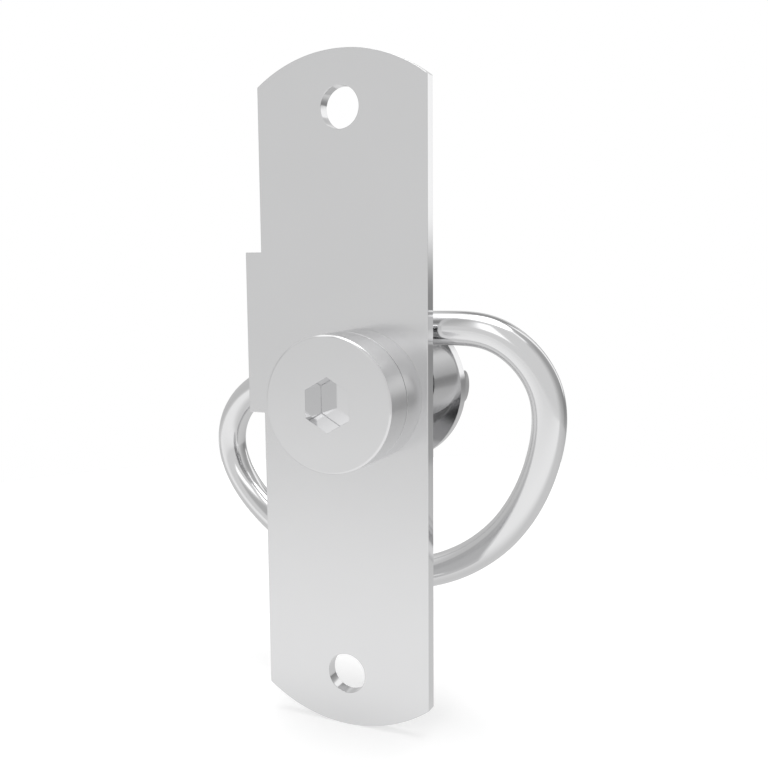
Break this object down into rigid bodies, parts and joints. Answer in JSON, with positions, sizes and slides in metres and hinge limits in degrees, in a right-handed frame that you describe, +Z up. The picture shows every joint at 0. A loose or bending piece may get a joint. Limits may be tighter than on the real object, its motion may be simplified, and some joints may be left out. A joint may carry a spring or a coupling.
{
  "type": "turn latch with bow handle",
  "caption": "Rotary compression latch: a flat fixing plate with a stop tab carries a hex-socket head that turns a bent round-rod bow behind the plate.",
  "frame": {"origin": "middle of the plate's front face, halfway between its two fixing holes", "axes": "+X right across the plate, +Y away from the front face towards the bow, +Z up the plate"},
  "size_m": [0.1033, 0.0555, 0.1484],
  "materials": {
    "satin_plate": "smooth satin stainless sheet",
    "satin_turned": "fine turned satin stainless",
    "bearing_grey": "dull grey bearing metal",
    "glide_polymer": "smooth dark glide ring",
    "plain_steel": "turned stainless",
    "polished_steel": "polished stainless with soft reflections",
    "polished_rod": "bright mirror polish",
    "weld_bead": "brushed weld bead"
  },
  "bodies": {
    "plate_body": {"plate": "satin_plate", "spacer_disc": "satin_turned", "bearing_bush": "bearing_grey", "glide_washer": "glide_polymer"},
    "handle_body": {"socket_head": "satin_turned", "spindle": "plain_steel", "hub": "polished_steel", "flange": "polished_steel", "bow": "polished_rod", "back_leg_welds": "weld_bead", "front_leg_weld": "weld_bead"}
  },
  "joints": [
    {"name": "handle_turn", "type": "hinge", "parent": "plate_body", "child": "handle_body", "pos_m": [0.00425, 0, 0.00135], "axis": [0, -1, 0], "continuous": true}
  ]
}
